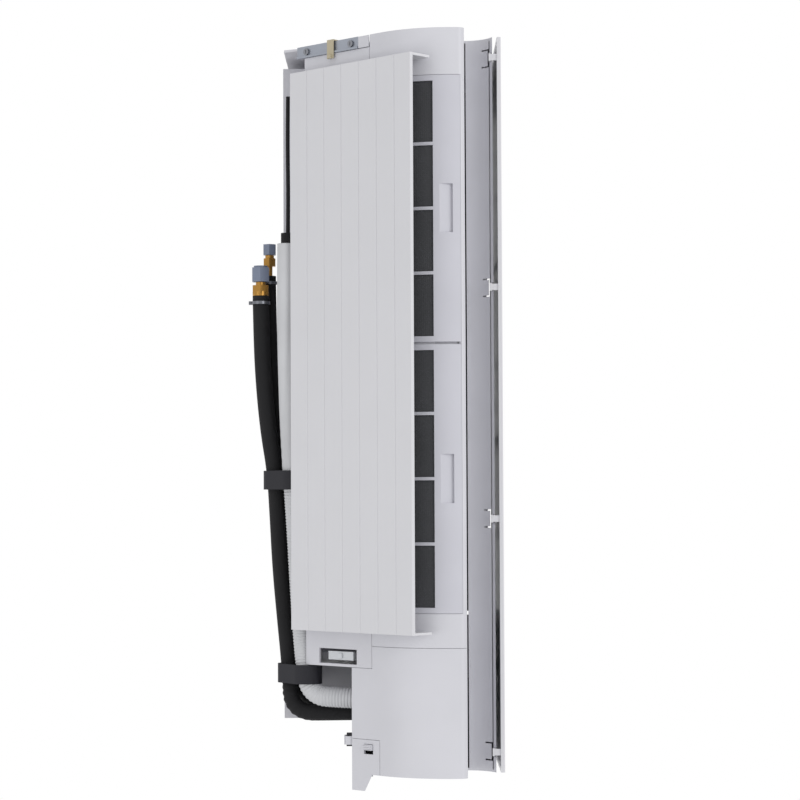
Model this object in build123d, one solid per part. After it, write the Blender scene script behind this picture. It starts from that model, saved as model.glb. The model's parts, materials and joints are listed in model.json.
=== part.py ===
from build123d import *
import math
import os

# Wall-mounted air conditioner, indoor unit. Millimetres.
# X runs along the length (+X is the right-hand end seen from the room), the wall is the plane Y = 0 and the
# room lies towards -Y. Heights are written above the lowest point of the underside and every piece is moved
# down by MOUNT_HEIGHT when it is written, so that the origin is the centre of the rear wall face.

os.makedirs("parts", exist_ok=True)

# Overall sizes
LENGTH = 798.0
HEIGHT = 295.0
DEPTH = 233.5
MOUNT_HEIGHT = 228.0
WALL = 2.6
GAP = 0.4

# Underside: an arc that runs into a straight chamfer towards the wall
UNDER_R = 108.0
UNDER_Y = -185.0
CHAMFER_DEG = 42.7
FRONT_Y = -201.5
CHAMFER_END_Y = -27.0
SEAM_Y = -100.0
CORNER_R = 7.0
HUMP_TOP = 78.0
COVE_Y = -205.0
RIM_Z = 56.0
COVE_SAG = 5.5
TOP_FRONT_R = 14.0
END_RISE = 50.0
BAY_RISE = 60.0

# Stations along the length
LEFT = -LENGTH / 2
RIGHT = LENGTH / 2
COVER_LEFT = 262.0
CHASSIS_LEFT = LEFT + 13.5
CHASSIS_RIGHT = 285.5
BACK_RIGHT = 350.0
BAY_Y = -78.0
BACK_BOTTOM = 172.0
BACK_TOP = 285.0
CHANNEL_Y = -43.0

# Filters
FILTER_LEFTS = (-348.0, -60.0)
FILTER_LENGTH = 285.3
FILTER_FRONT_Y = -197.0
FILTER_REAR_Y = -52.0
FILTER_T = 3.0
FILTER_SEAT = 3.6
FRONT_BAR_T = 5.2
WINDOW_FRONT_Y = -167.5
WINDOW_REAR_Y = -60.0
WINDOW_EDGE = 6.0
WINDOW_COUNT = 4
BAR_W = 3.4
MESH_T = 0.6
LEDGE = 8.0
LEDGE_T = 2.4

# Intake flap
FLAP_DEG = 44.1
FLAP_REAR = (-11.0, 100.0)
FLAP_WIDTH = 184.0
FLAP_T = 4.5
FLAP_LEFT = -367.5
FLAP_RIGHT = 247.0
FLAP_CHEEK = 30.0
FLAP_CHEEK_T = 2.6
GROOVE_PITCH = 26.8
GROOVE_COUNT = 6
GROOVE_W = 1.6
GROOVE_DEPTH = 0.9
FLAP_PIN_R = 2.0
RUN_FIT = 0.05
EAR_R = 4.4
EAR_T = 5.0
FLAP_AXIS_IN = 5.0
FLAP_AXIS_UP = 10.4

# Front panel
PANEL_T = 4.5
PANEL_GAP = 5.0
PANEL_TOP = 287.0
HOOK_PITCH = 251.5
HOOK_W = 20.0
PANEL_AXIS = (-233.0, 283.0)
PANEL_ARMS = (-300.0, 0.0, 300.0)
PANEL_ARM_W = 11.0
PANEL_PIN_R = 2.0
ARM_BOSS_R = 3.4
EAR_DEPTH = 9.0

# Fan
FAN_AXIS = (-118.0, 165.0)
FAN_R = 46.0
FAN_LEFT = -345.0
FAN_RIGHT = 228.0
FAN_BLADES = 22
FAN_DISCS = 4
FAN_DISC_T = 2.4
BLADE_LENGTH = 12.0
BLADE_T = 1.4
SHAFT_R = 4.0

# Outlet
OUTLET_LOW = 12.0
OUTLET_HIGH = 65.0
OUTLET_LEFT = -340.0
OUTLET_RIGHT = 220.0
OUTLET_AXIS = (-197.4, 17.0)
OUTLET_PIN_R = 1.2
DUCT_T = 1.6
VANE_Y = -172.0
VANE_FRONT_Y = -193.0
VANE_REAR_Y = -157.0
VANE_T = 1.8
VANES_PER_BANK = 5
VANE_PIN_R = 1.6
LINK_OFFSET = 12.0

# Pipes, hose and straps
GAS_R = 9.2
LIQUID_R = 7.2
HOSE_R = 11.5
GAS_Z = 143.0
LIQUID_Z = 157.5

# Derived stations of the underside, the flap and the filters
TANGENT_Y = UNDER_Y + UNDER_R * math.sin(math.radians(CHAMFER_DEG))
TANGENT_Z = UNDER_R * (1 - math.cos(math.radians(CHAMFER_DEG)))
FLAP_C = math.cos(math.radians(FLAP_DEG))
FLAP_S = math.sin(math.radians(FLAP_DEG))
FILTERS_LEFT = FILTER_LEFTS[0]
FILTERS_RIGHT = FILTER_LEFTS[1] + FILTER_LENGTH
SEAT_LEFT = FILTERS_LEFT - GAP
SEAT_RIGHT = FILTERS_RIGHT + GAP
OPENINGS = [(x + LEDGE, x + FILTER_LENGTH - LEDGE) for x in FILTER_LEFTS]

# Flap ears, service slot and wall hanger slots
FLAP_EARS = (FLAP_LEFT + FLAP_CHEEK_T + GAP, FLAP_RIGHT - FLAP_CHEEK_T - GAP - EAR_T)
SLOT_Y0 = -83.5
SLOT_Y1 = -42.0
SLOT_X0 = 266.5
SLOT_X1 = 283.0 - WALL / 2 + 1.0
HANGER_XS = (-250.0, 0.0, 250.0)
HANGER_W = 40.0
HANGER_H = 12.0
HANGER_Z = 262.0

# Panel catches, access opening and top grille
HOOK_XS = [(-1.5 + i) * HOOK_PITCH for i in range(4)]
HOOK_Y = -226.5
ACCESS_COUNT = 3
ACCESS_LEFT = -345.0
ACCESS_W = 186.0
ACCESS_BAR = 8.0
ACCESS_LOW = 95.0
ACCESS_HIGH = 262.0
GRILLE_ROWS = 12
GRILLE_FRONT = -212.0
GRILLE_PITCH = 14.0
GRILLE_SLOT = 10.0
GRILLE_BAYS = 6
GRILLE_LEFT = -348.0
GRILLE_BAY = 94.0
GRILLE_RIB = 5.0

# Pipe doorway, service door and its latch
DOORWAY_X0 = 302.0
DOORWAY_X1 = 352.0
DOORWAY_Z0 = 92.0
DOOR_X0 = 362.0
DOOR_Y0 = -108.0
DOOR_Y1 = BAY_Y
FOOT_END = 417.0
FOOT_Y0 = -100.0
FOOT_TAPER = 8.0
FOOT_T = 7.0
LATCH_X = 370.0
SLOT_LATCH_Y = -96.0
LATCH_TRAVEL = 3.5

# Heat exchanger
COIL_T = 22.0
COIL_LEFT = -340.0
COIL_RIGHT = 224.0
FIN_COUNT = 14
FIN_CUT = 3.0

# Vane banks and their links
BANKS = ((-318.0, "left"), (-36.0, "right"))
VANE_PITCH = 54.0
VANE_XS = [x0 + i * VANE_PITCH for x0, _ in BANKS for i in range(VANES_PER_BANK)]
LINK_Z = OUTLET_HIGH - 12.0
LINK_T = 2.0

# Steel bar at the left-hand end
BAR_Y0 = -88.0
BAR_Y1 = -19.0
BAR_SCREWS = (-80.0, -30.0)

# Pipe, hose and lead routes, and their fittings
GAS_ROUTE = [(339.5, -90, 128), (340, -62, 130), (341, -9, 136), (292, -7.6, 140), (236, -2, GAS_Z),
             (180, 3, GAS_Z), (124, 5.8, GAS_Z), (72, 8.8, GAS_Z), (30, 15.8, GAS_Z), (-20, 20.8, GAS_Z),
             (-72, 23.6, GAS_Z), (-124, 24.4, GAS_Z)]
LIQUID_ROUTE = [(330, -90, 146), (330.4, -62, 148), (329, -18, 154), (284, -17, LIQUID_Z), (232, -11.5, LIQUID_Z),
                (176, -6.4, LIQUID_Z), (120, -3, LIQUID_Z), (70, 1, LIQUID_Z), (26, 7, LIQUID_Z),
                (-24, 11.6, LIQUID_Z), (-84, 14.6, LIQUID_Z + 2), (-148, 15.4, LIQUID_Z + 3.6)]
HOSE_ROUTE = [(323, -90, 106), (322.5, -70, 108), (320, -30, 116), (276, -24.6, 121.4), (232, -21.4, 122),
              (184, -18.6, 122), (132, -15.8, 123), (80, -12.2, 125)]
SLEEVE_ROUTE = [(79.4, -12.2, 125), (28, -9.2, 124), (-30, -7.6, 120.4), (-88, -6.4, 118), (-146, -6.8, 118),
                (-180, -7.0, 118)]
LEAD_ROUTE = [(-190, -7.4, 118), (-240, -7.8, 119), (-292, -7.2, 118.4), (-345, -7.8, 118)]
LEAD_R = 2.2
CUFF_R = 7.4
COPPER_R = 3.2
BRASS_R = 9.4

# Straps
STRAP_W = 21.0
STRAP_T = 1.4
STRAP_EASE = 1.9


def arc_angle(y):
    return math.asin((y - UNDER_Y) / UNDER_R)


def under(y, depth=0.0):
    """The point a given depth inside the underside, under the outer point at y."""
    if y <= TANGENT_Y:
        a = arc_angle(y)
        r = UNDER_R - depth
        return (UNDER_Y + r * math.sin(a), UNDER_R - r * math.cos(a))
    c = math.radians(CHAMFER_DEG)
    z = TANGENT_Z + (y - TANGENT_Y) * math.tan(c)
    return (y - depth * math.sin(c), z + depth * math.cos(c))


def section(points_and_arcs):
    """A face in the YZ plane from edges given as point pairs or point triples (an arc through three)."""
    edges = []
    for item in points_and_arcs:
        pts = [(0, p[0], p[1]) for p in item]
        edges.append(Edge.make_line(*pts) if len(pts) == 2 else Edge.make_three_point_arc(*pts))
    return Face(Wire(edges))


def under_run(y0, y1, depth):
    """Edges along the underside from y0 to y1 at one depth."""
    runs = []
    if y0 < TANGENT_Y:
        end = min(y1, TANGENT_Y)
        runs.append((under(y0, depth), under((y0 + end) / 2, depth), under(end, depth)))
    if y1 > TANGENT_Y:
        runs.append((under(max(y0, TANGENT_Y), depth), under(y1, depth)))
    return runs


def band(y0, y1, outer, inner):
    """A strip between two depths of the underside."""
    low = under_run(y0, y1, outer)
    high = [tuple(reversed(run)) for run in reversed(under_run(y0, y1, inner))]
    rear = [(under(y1, outer), under(y1, inner))]
    front = [(under(y0, inner), under(y0, outer))]
    return section(low + rear + high + front)


def polygon(*pts):
    return section([(pts[i], pts[(i + 1) % len(pts)]) for i in range(len(pts))])


def run(face, x0, x1):
    """Draws a YZ face out along X."""
    return extrude(face.moved(Location((x0, 0, 0))), amount=x1 - x0, dir=(1, 0, 0))


def block(x0, x1, y0, y1, z0, z1):
    return Pos((x0 + x1) / 2, (y0 + y1) / 2, (z0 + z1) / 2) * Box(x1 - x0, y1 - y0, z1 - z0)


def rod(axis, r, x0, x1):
    """A round bar along X about a YZ point."""
    return Pos((x0 + x1) / 2, axis[0], axis[1]) * Rot(0, 90, 0) * Cylinder(r, x1 - x0)


def pin(x, y, r, z0, z1):
    return Pos(x, y, (z0 + z1) / 2) * Cylinder(r, z1 - z0)


def save(name, shape):
    if isinstance(shape, ShapeList) or isinstance(shape, list):
        shape = Compound(list(shape))
    export_step(shape.moved(Location((0, 0, -MOUNT_HEIGHT))), "parts/" + name + ".step")


# Flap directions: along the flap towards the wall, and square to it towards the body


def on_flap(along, rise):
    """A point that far from the flap's rear edge, and that far above its outer face."""
    return (FLAP_REAR[0] - along * FLAP_C - rise * FLAP_S, FLAP_REAR[1] - along * FLAP_S + rise * FLAP_C)


FLAP_AXIS = on_flap(FLAP_AXIS_IN, FLAP_AXIS_UP)


def seat_cut(reach):
    """What the filters' seat takes out of the outer skin; its front wall slopes as the filters pull out."""
    front = under(FILTER_FRONT_Y - GAP, 0)
    slide = (front[0] + 20 * FLAP_C, front[1] + 20 * FLAP_S)
    away = (front[0] - 20 * FLAP_C, front[1] - 20 * FLAP_S)
    keep = polygon(away, slide, (slide[0] + 160, slide[1] + 130), (slide[0] + 160, away[1]))
    return run(band(FRONT_Y + 1, FILTER_REAR_Y + GAP, -3, reach) & keep, SEAT_LEFT, SEAT_RIGHT)


def lower_casing():
    """The hump under the front: rounded lower edge, filter seat with two openings, and the outlet slot."""
    corner = under(FRONT_Y + CORNER_R, 0)
    side = (FRONT_Y, corner[1] + CORNER_R)
    bend = (FRONT_Y + CORNER_R * 0.3, corner[1] + CORNER_R * 0.3)
    top = HUMP_TOP - GAP
    seam = SEAM_Y - GAP / 2
    inner_side = FRONT_Y + WALL
    outer = [(side, bend, corner)] + under_run(corner[0], seam, 0)
    inner = [tuple(reversed(r)) for r in reversed(under_run(corner[0], seam, WALL))]
    inner_corner = under(corner[0], WALL)
    shell = section(outer + [(under(seam, 0), under(seam, WALL))] + inner
                    + [(inner_corner, (inner_side, side[1])), ((inner_side, side[1]), (inner_side, top)),
                       ((inner_side, top), (FRONT_Y, top)), ((FRONT_Y, top), side)])
    body = run(shell, LEFT, COVER_LEFT - GAP / 2)
    end = section(outer + [(under(seam, 0), (seam, top)), ((seam, top), (FRONT_Y, top)), ((FRONT_Y, top), side)])
    body += run(end, LEFT, LEFT + WALL)
    body -= seat_cut(WALL + 1)
    ledge = run(band(FILTER_FRONT_Y - 2, WINDOW_FRONT_Y + 1, FRONT_BAR_T + GAP, FRONT_BAR_T + GAP + LEDGE_T),
                SEAT_LEFT - 2, SEAT_RIGHT + 2)
    ledge += run(band(WINDOW_FRONT_Y - 1, seam, FILTER_SEAT, FILTER_SEAT + LEDGE_T), SEAT_LEFT - 2, SEAT_RIGHT + 2)
    ledge += run(band(WINDOW_FRONT_Y - 1, WINDOW_FRONT_Y + 1, FILTER_SEAT, FRONT_BAR_T + GAP + 1),
                 SEAT_LEFT - 2, SEAT_RIGHT + 2)
    for x in (SEAT_LEFT - 2, SEAT_RIGHT):
        ledge += run(band(FILTER_FRONT_Y - 2, WINDOW_FRONT_Y, 0.6, FRONT_BAR_T + LEDGE_T), x, x + 2)
        ledge += run(band(WINDOW_FRONT_Y - 1, seam, 0.6, FILTER_SEAT + 1), x, x + 2)
    ledge += run(band(FRONT_Y + 2.5, FILTER_FRONT_Y - 1.2, 1, FRONT_BAR_T + LEDGE_T), SEAT_LEFT, SEAT_RIGHT)
    ledge -= seat_cut(FILTER_SEAT)
    ledge -= run(band(FILTER_FRONT_Y + 2, WINDOW_FRONT_Y - 1, 0, FRONT_BAR_T + GAP), SEAT_LEFT, SEAT_RIGHT)
    body += ledge
    for x0, x1 in OPENINGS:
        body -= run(band(WINDOW_FRONT_Y + LEDGE, SEAM_Y + 5, -2, 12), x0, x1)
    body -= block(OUTLET_LEFT, OUTLET_RIGHT, FRONT_Y - 2, FRONT_Y + WALL + 2, OUTLET_LOW, OUTLET_HIGH)
    for x in (OUTLET_LEFT - EAR_T, OUTLET_RIGHT):
        ear = block(x, x + EAR_T, FRONT_Y + 1, OUTLET_AXIS[0] + 4, OUTLET_LOW - 2, OUTLET_AXIS[1] + 5)
        body += ear
    body -= rod(OUTLET_AXIS, OUTLET_PIN_R + RUN_FIT, OUTLET_LEFT - EAR_T - 1, OUTLET_RIGHT + EAR_T + 1)
    return body


def rear_chassis():
    """Chamfered rear body, pipe channel and flat back, moulded as one, with the flap's ears."""
    seam = SEAM_Y + GAP / 2
    end = under(CHAMFER_END_Y, 0)
    start = under(seam, 0)
    outer = under_run(seam, CHAMFER_END_Y, 0)
    inner = [tuple(reversed(r)) for r in reversed(under_run(seam, CHAMFER_END_Y - WALL, WALL))]
    lip_z = end[1] + 6
    back = [(end, (CHANNEL_Y + WALL, lip_z)), ((CHANNEL_Y + WALL, lip_z), (CHANNEL_Y + WALL, BACK_BOTTOM - WALL)),
            ((CHANNEL_Y + WALL, BACK_BOTTOM - WALL), (0, BACK_BOTTOM - WALL)),
            ((0, BACK_BOTTOM - WALL), (0, BACK_TOP)), ((0, BACK_TOP), (-WALL, BACK_TOP)),
            ((-WALL, BACK_TOP), (-WALL, BACK_BOTTOM)), ((-WALL, BACK_BOTTOM), (CHANNEL_Y, BACK_BOTTOM)),
            ((CHANNEL_Y, BACK_BOTTOM), (CHANNEL_Y, lip_z - 1)),
            ((CHANNEL_Y, lip_z - 1), under(CHAMFER_END_Y - WALL, WALL))]
    ring = section(outer + back + inner + [(under(seam, WALL), start)])
    body = run(ring, CHASSIS_LEFT, CHASSIS_RIGHT)
    upper = polygon((0, BACK_BOTTOM - WALL), (0, BACK_TOP), (-WALL, BACK_TOP), (-WALL, BACK_BOTTOM),
                    (CHANNEL_Y, BACK_BOTTOM), (CHANNEL_Y, BACK_BOTTOM - WALL))
    body += run(upper, CHASSIS_RIGHT - 1, BACK_RIGHT)
    wall = polygon(under(seam, 0), (seam, BACK_TOP), (0, BACK_TOP), (0, BACK_BOTTOM - WALL),
                   (CHANNEL_Y + WALL, BACK_BOTTOM - WALL), (CHANNEL_Y + WALL, lip_z), end, under(TANGENT_Y + 1, 0))
    body += run(wall, CHASSIS_LEFT, CHASSIS_LEFT + WALL)
    body += run(wall, CHASSIS_RIGHT - WALL, CHASSIS_RIGHT)
    bay = polygon((BAY_Y + 2, BACK_BOTTOM - WALL), (BAY_Y + 2, BACK_BOTTOM), (CHANNEL_Y, BACK_BOTTOM),
                  (CHANNEL_Y, BACK_BOTTOM - WALL))
    body += run(bay, CHASSIS_RIGHT - 1, BACK_RIGHT)
    side = polygon((BAY_Y + 2, BACK_BOTTOM - WALL), (BAY_Y + 2, BACK_TOP), (0, BACK_TOP), (0, BACK_BOTTOM - WALL))
    body += run(side, BACK_RIGHT - WALL, BACK_RIGHT)
    seat = seat_cut(WALL + 1)
    body -= seat & block(SEAT_LEFT - 1, SEAT_RIGHT + 1, seam - 6, 0, 0, 130)
    ledge = run(band(seam, FILTER_REAR_Y + 3, FILTER_SEAT, FILTER_SEAT + LEDGE_T), SEAT_LEFT - 2, SEAT_RIGHT + 2)
    for x in (SEAT_LEFT - 2, SEAT_RIGHT):
        ledge += run(band(seam, FILTER_REAR_Y + 3, 0.6, FILTER_SEAT + 1), x, x + 2)
    ledge += run(band(FILTER_REAR_Y + GAP, FILTER_REAR_Y + 3, 0.6, FILTER_SEAT + 1), SEAT_LEFT - 2, SEAT_RIGHT + 2)
    body += ledge
    for x0, x1 in OPENINGS:
        body -= run(band(SEAM_Y - 5, FILTER_REAR_Y - LEDGE, -2, 12), x0, x1)
    for x in FLAP_EARS:
        foot = under(CHAMFER_END_Y - 2.6 * EAR_R, WALL - 0.8)
        toe = under(CHAMFER_END_Y - 1.2, WALL - 0.8)
        ear = polygon((FLAP_AXIS[0] - EAR_R * 0.4, FLAP_AXIS[1] - EAR_R * 0.9),
                      (FLAP_AXIS[0] + 1, FLAP_AXIS[1] + EAR_R * 0.9), toe, foot)
        body += run(ear, x, x + EAR_T) + rod(FLAP_AXIS, EAR_R, x, x + EAR_T)
        body -= rod(FLAP_AXIS, FLAP_PIN_R + RUN_FIT, x - 1, x + EAR_T + 1)
    body -= run(band(SLOT_Y0, SLOT_Y1, -3, WALL + 3), SLOT_X0, SLOT_X1)
    for x in HANGER_XS:
        body -= block(x - HANGER_W / 2, x + HANGER_W / 2, -WALL - 1, 1, HANGER_Z - HANGER_H / 2,
                      HANGER_Z + HANGER_H / 2)
    return body


def cabinet():
    """Upper body: cove, front frame with its access opening, top grille and both ends."""
    front = -DEPTH
    rim = (front, RIM_Z)
    end = (COVE_Y, HUMP_TOP)
    mid = ((rim[0] + end[0]) / 2 - COVE_SAG * 0.6, (rim[1] + end[1]) / 2 + COVE_SAG * 0.8)
    mid_in = (mid[0] - WALL * 0.5, mid[1] + WALL * 0.85)
    top_z = HEIGHT
    crown = TOP_FRONT_R * (1 - math.sqrt(0.5))
    top_rear = -3.0
    arch = [((top_rear, top_z), (front + TOP_FRONT_R, top_z)),
            ((front + TOP_FRONT_R, top_z), (front + crown, top_z - crown), (front, top_z - TOP_FRONT_R)),
            ((front, top_z - TOP_FRONT_R), rim), (rim, mid, end)]
    base = HUMP_TOP + GAP
    low = HUMP_TOP + END_RISE
    outline = section([(end, (FRONT_Y, base)), ((FRONT_Y, base), (SEAM_Y, base)), ((SEAM_Y, base), (top_rear, low)),
                       ((top_rear, low), (top_rear, top_z))] + arch)
    under_end = (COVE_Y, HUMP_TOP - WALL)
    behind = top_rear + WALL
    hollow = section([((COVE_Y, HUMP_TOP + WALL), mid_in, (front + WALL, RIM_Z + WALL)),
                      ((front + WALL, RIM_Z + WALL), (front + WALL, top_z - TOP_FRONT_R)),
                      ((front + WALL, top_z - TOP_FRONT_R), (front + WALL + crown, top_z - WALL - crown),
                       (front + TOP_FRONT_R, top_z - WALL)),
                      ((front + TOP_FRONT_R, top_z - WALL), (behind, top_z - WALL)),
                      ((behind, top_z - WALL), (behind, under_end[1])), ((behind, under_end[1]), under_end),
                      (under_end, (COVE_Y, HUMP_TOP + WALL))])
    body = run(outline, LEFT, RIGHT) - run(hollow, LEFT + WALL, RIGHT - WALL)
    # The right-hand end stops short of the wall, above the pipes' doorway
    body -= block(BACK_RIGHT, RIGHT + WALL, BAY_Y, WALL, RIM_Z, HEIGHT + WALL)
    body += block(BACK_RIGHT, RIGHT - WALL, BAY_Y - WALL, BAY_Y, HUMP_TOP + BAY_RISE, HEIGHT - WALL)
    body -= block(RIGHT - WALL, RIGHT + WALL, SEAM_Y, BAY_Y, HUMP_TOP - WALL, HUMP_TOP + GAP)
    # Access opening behind the front panel, with two uprights
    for i in range(ACCESS_COUNT):
        x0 = ACCESS_LEFT + i * (ACCESS_W + ACCESS_BAR)
        body -= block(x0, x0 + ACCESS_W, front - 1, front + WALL + 1, ACCESS_LOW, ACCESS_HIGH)
    # Top grille
    for i in range(GRILLE_ROWS):
        y0 = GRILLE_FRONT + i * GRILLE_PITCH
        for j in range(GRILLE_BAYS):
            x0 = GRILLE_LEFT + j * (GRILLE_BAY + GRILLE_RIB)
            body -= block(x0, x0 + GRILLE_BAY, y0, y0 + GRILLE_SLOT, top_z - WALL - 1, top_z + 1)
    # Catch slots in the cove, each round a tongue, and notches in the rim
    for x in HOOK_XS:
        slot = block(x - HOOK_W / 2, x + HOOK_W / 2, HOOK_Y - 4, HOOK_Y + 4, RIM_Z - 2, HUMP_TOP)
        tongue = block(x - HOOK_W / 2 + 1.6, x + HOOK_W / 2 - 1.6, HOOK_Y - 2.4, HOOK_Y + 5, RIM_Z - 3, HUMP_TOP + 1)
        body -= slot - tongue
        body -= block(x - 5, x + 5, front - 1, HOOK_Y - 2, RIM_Z - 2, RIM_Z + 9)
    # Hinge cheeks for the panel's arms
    for x in PANEL_ARMS:
        half = PANEL_ARM_W / 2 + GAP
        body -= block(x - half, x + half, front - 1, front + EAR_DEPTH, PANEL_AXIS[1] - 8, PANEL_AXIS[1] + ARM_BOSS_R + 1)
        for x0 in (x - half - EAR_T, x + half):
            body += block(x0, x0 + EAR_T, front + 0.1, front + EAR_DEPTH, PANEL_AXIS[1] - 7, PANEL_AXIS[1] + 6.5) \
                & run(outline, x0, x0 + EAR_T)
        body -= rod(PANEL_AXIS, PANEL_PIN_R + RUN_FIT, x - half - EAR_T - 1, x + half + EAR_T + 1)
    return body


def end_cover():
    """Right-hand cover under the electrics, with the stepped edge, the rear wall and the pipe doorway."""
    corner = under(FRONT_Y + CORNER_R, 0)
    side = (FRONT_Y, corner[1] + CORNER_R)
    bend = (FRONT_Y + CORNER_R * 0.3, corner[1] + CORNER_R * 0.3)
    top = HUMP_TOP - GAP
    inner_side = FRONT_Y + WALL

    def shell(rear):
        outer = [(side, bend, corner)] + under_run(corner[0], rear, 0)
        inner = [tuple(reversed(r)) for r in reversed(under_run(corner[0], rear, WALL))]
        return section(outer + [(under(rear, 0), under(rear, WALL))] + inner
                       + [(under(corner[0], WALL), (inner_side, side[1])),
                          ((inner_side, side[1]), (inner_side, top)), ((inner_side, top), (FRONT_Y, top)),
                          ((FRONT_Y, top), side)])

    step_x = CHASSIS_RIGHT + GAP
    body = run(shell(SEAM_Y - GAP / 2), COVER_LEFT + GAP / 2, step_x + 1)
    body += run(shell(BAY_Y), step_x, RIGHT)
    outer = [(side, bend, corner)] + under_run(corner[0], BAY_Y, 0)
    cheek = section(outer + [(under(BAY_Y, 0), (BAY_Y, top)), ((BAY_Y, top), (FRONT_Y, top)), ((FRONT_Y, top), side)])
    body += run(cheek, RIGHT - WALL, RIGHT)
    rear = polygon((BAY_Y - WALL, under(BAY_Y - WALL, 1)[1]), (BAY_Y, under(BAY_Y, 0)[1]),
                   (BAY_Y, HUMP_TOP + 60 - GAP), (BAY_Y - WALL, HUMP_TOP + 60 - GAP))
    body += run(rear, step_x, BACK_RIGHT)
    low_rear = polygon((BAY_Y - WALL, under(BAY_Y - WALL, 1)[1]), (BAY_Y, under(BAY_Y, 0)[1]),
                       (BAY_Y, HUMP_TOP + 60 - GAP), (BAY_Y - WALL, HUMP_TOP + 60 - GAP))
    body += run(low_rear, BACK_RIGHT - 1, RIGHT - WALL - GAP)
    body -= block(DOORWAY_X0, DOORWAY_X1, BAY_Y - WALL - 1, BAY_Y + 1, DOORWAY_Z0, HUMP_TOP + 70)
    body -= run(band(DOOR_Y0 - GAP, DOOR_Y1 + 6, -3, WALL + 1.6), DOOR_X0 - GAP, RIGHT + 1)
    return body


def service_door():
    """Small cover over the drain and cable corner, with the foot that stands past the end."""
    body = run(band(DOOR_Y0, DOOR_Y1, 0, WALL), DOOR_X0, RIGHT)
    foot = run(band(FOOT_Y0, DOOR_Y1, 0, FOOT_T), RIGHT + GAP, FOOT_END)
    lean = math.degrees(math.atan2(FOOT_TAPER, FOOT_END - RIGHT))
    side = under(FOOT_Y0, 0)
    foot -= Pos(RIGHT, side[0], side[1]) * Rot(0, 0, lean) * Pos(20, -20, 0) * Box(80, 40, 60)
    body += foot + run(band(FOOT_Y0 + 1, DOOR_Y1, 0, WALL), RIGHT - 1, RIGHT + 2)
    body -= run(band(SLOT_LATCH_Y - 5, SLOT_LATCH_Y + 5, -1, WALL + 1), LATCH_X - 8, LATCH_X + 8) \
        & block(LATCH_X - 3.4, LATCH_X + 7.4, -300, 0, -20, 200)
    return body


def door_latch():
    """Ribbed thumb catch that slides along the door's slot."""
    body = run(band(SLOT_LATCH_Y - 4.6, SLOT_LATCH_Y + 4.6, -2.4, WALL + 1.2), LATCH_X - 3, LATCH_X + 3)
    body += run(band(SLOT_LATCH_Y - 7.5, SLOT_LATCH_Y + 7.5, WALL + 0.35, WALL + 2.2), LATCH_X - 3, LATCH_X + 3)
    for i in range(3):
        x = LATCH_X - 2 + i * 2
        body -= run(band(SLOT_LATCH_Y - 6, SLOT_LATCH_Y + 6, -3, -1.7), x - 0.4, x + 0.4)
    return body


def front_panel():
    """Flat front panel with thin returned ends, four catches along its lower edge and three hinge arms."""
    back = -DEPTH - PANEL_GAP
    face = section([((back, RIM_Z), (back - PANEL_T + 1.2, RIM_Z)),
                    ((back - PANEL_T + 1.2, RIM_Z), (back - PANEL_T, RIM_Z + 1.2)),
                    ((back - PANEL_T, RIM_Z + 1.2), (back - PANEL_T, PANEL_TOP - 1.2)),
                    ((back - PANEL_T, PANEL_TOP - 1.2), (back - PANEL_T + 1.2, PANEL_TOP)),
                    ((back - PANEL_T + 1.2, PANEL_TOP), (back, PANEL_TOP)), ((back, PANEL_TOP), (back, RIM_Z))])
    body = run(face, LEFT, RIGHT)
    for x in HOOK_XS:
        body += block(x - 3.5, x + 3.5, back - 0.5, HOOK_Y - 3.2, RIM_Z + 1.2, RIM_Z + 3.4)
        body += block(x - 4.2, x + 4.2, HOOK_Y - 5.2, HOOK_Y - 3.2, RIM_Z + 1.2, RIM_Z + 5.0)
    for x in PANEL_ARMS:
        body += block(x - PANEL_ARM_W / 2, x + PANEL_ARM_W / 2, back - 0.5, PANEL_AXIS[0], PANEL_AXIS[1] - 3.4,
                      PANEL_AXIS[1] + 2.4)
        body += rod(PANEL_AXIS, ARM_BOSS_R, x - PANEL_ARM_W / 2, x + PANEL_ARM_W / 2)
        body += rod(PANEL_AXIS, PANEL_PIN_R, x - PANEL_ARM_W / 2 - EAR_T, x + PANEL_ARM_W / 2 + EAR_T)
    return body


def intake_flap():
    """Grooved flap below the filters, with its end cheeks and the pins it swings on."""
    blade = polygon(on_flap(0, 0), on_flap(FLAP_WIDTH, 0), on_flap(FLAP_WIDTH, FLAP_T), on_flap(0, FLAP_T))
    body = run(blade, FLAP_LEFT, FLAP_RIGHT)
    for i in range(1, GROOVE_COUNT + 1):
        at = i * GROOVE_PITCH
        groove = polygon(on_flap(at - GROOVE_W, -0.1), on_flap(at + GROOVE_W * 0.3, -0.1), on_flap(at, GROOVE_DEPTH))
        body -= run(groove, FLAP_LEFT - 1, FLAP_RIGHT + 1)
    cheek = polygon(on_flap(1, FLAP_T - 0.5), on_flap(FLAP_WIDTH, FLAP_T - 0.5), on_flap(FLAP_WIDTH, FLAP_CHEEK),
                    on_flap(1, FLAP_CHEEK))
    cheek = cheek - band(FRONT_Y, CHAMFER_END_Y + 14, -1.2, 40)
    pad = 5.2
    for x in (FLAP_LEFT, FLAP_RIGHT - FLAP_CHEEK_T):
        plate = run(cheek, x, x + FLAP_CHEEK_T) + rod(FLAP_AXIS, pad, x, x + FLAP_CHEEK_T)
        body += plate
    body += rod(FLAP_AXIS, FLAP_PIN_R, FLAP_LEFT + 1, FLAP_EARS[0] + EAR_T)
    body += rod(FLAP_AXIS, FLAP_PIN_R, FLAP_EARS[1], FLAP_RIGHT - 1)
    return body


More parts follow.
